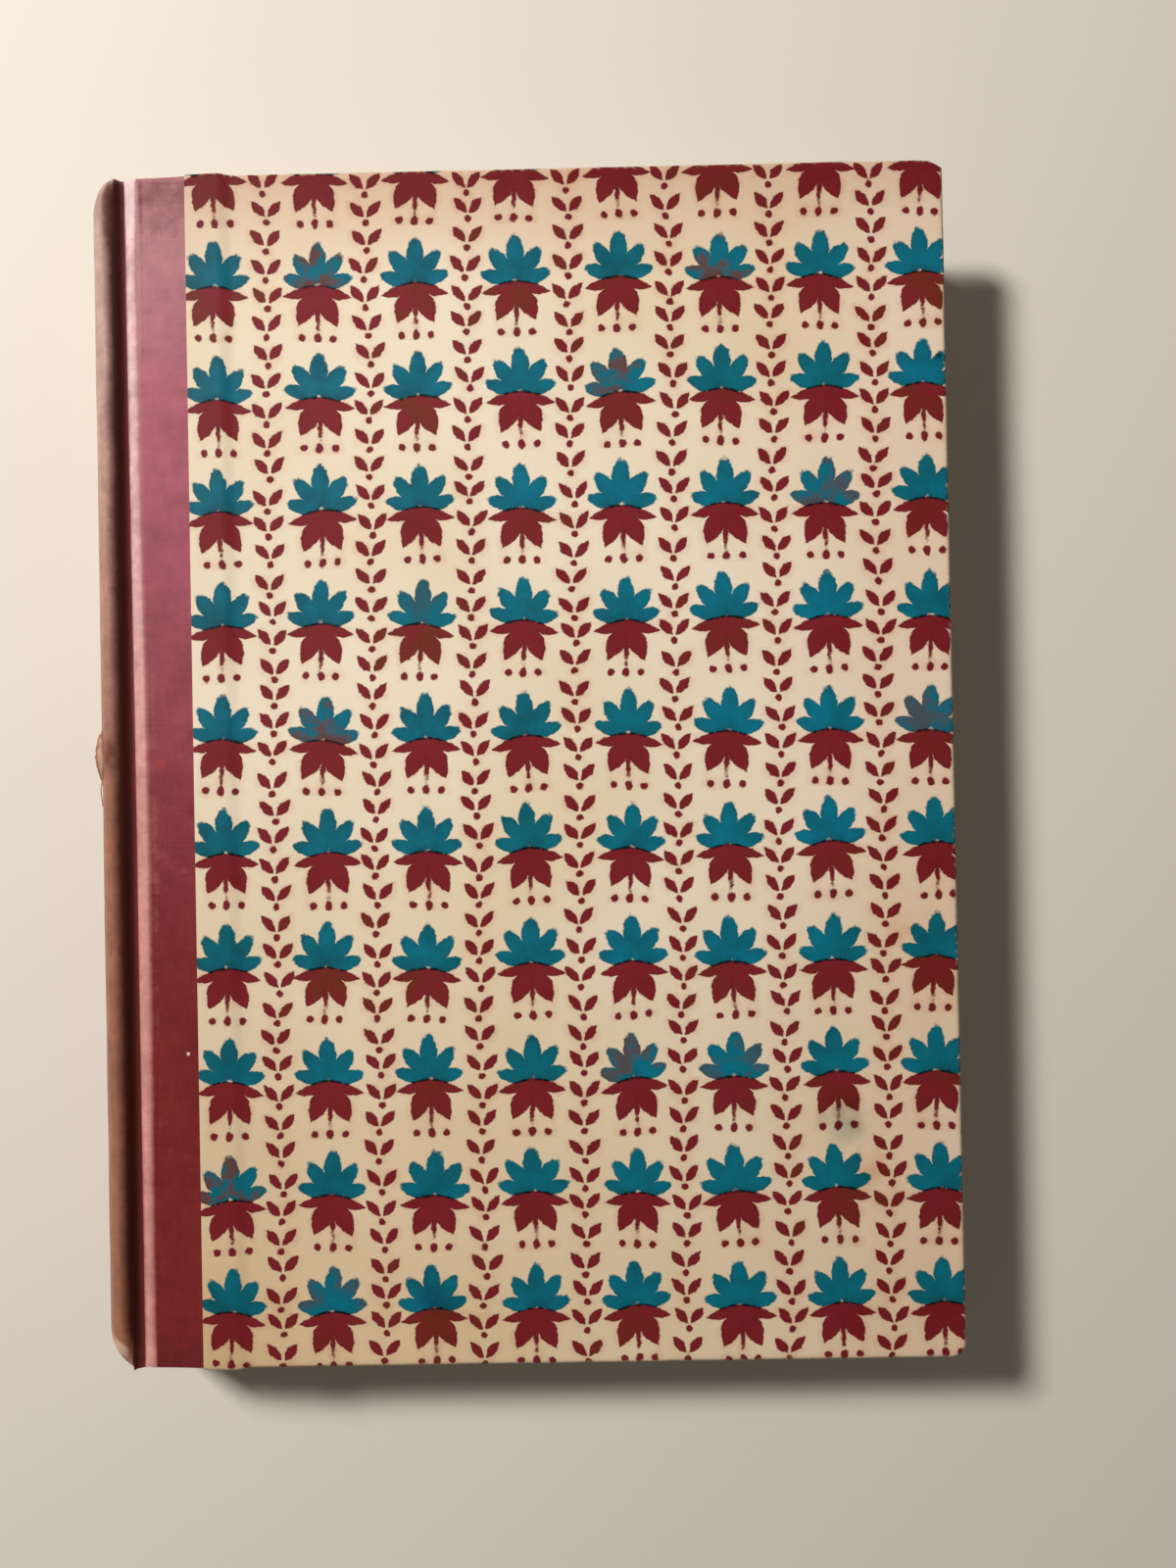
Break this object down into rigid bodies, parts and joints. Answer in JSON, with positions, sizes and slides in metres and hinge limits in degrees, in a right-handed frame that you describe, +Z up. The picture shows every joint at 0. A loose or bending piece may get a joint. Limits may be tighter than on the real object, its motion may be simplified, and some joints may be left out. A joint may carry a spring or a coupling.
{
  "type": "hardback book",
  "caption": "Closed hardback book with a cloth spine, patterned paper sides, rounded back, sewn pages and covers that open.",
  "frame": {"origin": "under the middle of the book, on the surface that the back cover lies on", "axes": "+Z up through the closed covers, +Y along the spine towards the head, +X from the spine towards the fore edge"},
  "size_m": [0.1666, 0.2292, 0.0264],
  "materials": {
    "pages": "matte",
    "thread": "matte",
    "mull": "matte",
    "lining_paper": "matte",
    "band": "satin",
    "endpaper": "matte",
    "card": "matte",
    "board": "matte",
    "cloth": "matte",
    "side_paper": "matte"
  },
  "bodies": {
    "book_block": {"page_block": "pages", "sewing_thread": "thread", "mull": "mull", "spine_lining": "lining_paper", "head_band": "band", "tail_band": "band", "front_flyleaf": "endpaper", "back_flyleaf": "endpaper", "spine_inlay": "card", "spine_cloth": "cloth"},
    "front_cover": {"front_board": "board", "front_board_cloth": "cloth", "front_side_paper": "side_paper", "front_pastedown": "endpaper", "front_mull_wing": "mull"},
    "back_cover": {"back_board": "board", "back_board_cloth": "cloth", "back_side_paper": "side_paper", "back_pastedown": "endpaper", "back_mull_wing": "mull"}
  },
  "joints": [
    {"name": "front_cover_hinge", "type": "hinge", "parent": "book_block", "child": "front_cover", "pos_m": [-0.0772, 0, 0.0252], "axis": [0, -1, 0], "range_deg": [0, 178]},
    {"name": "back_cover_hinge", "type": "hinge", "parent": "book_block", "child": "back_cover", "pos_m": [-0.0772, 0, 0.0012], "axis": [0, 1, 0], "range_deg": [0, 178]}
  ]
}
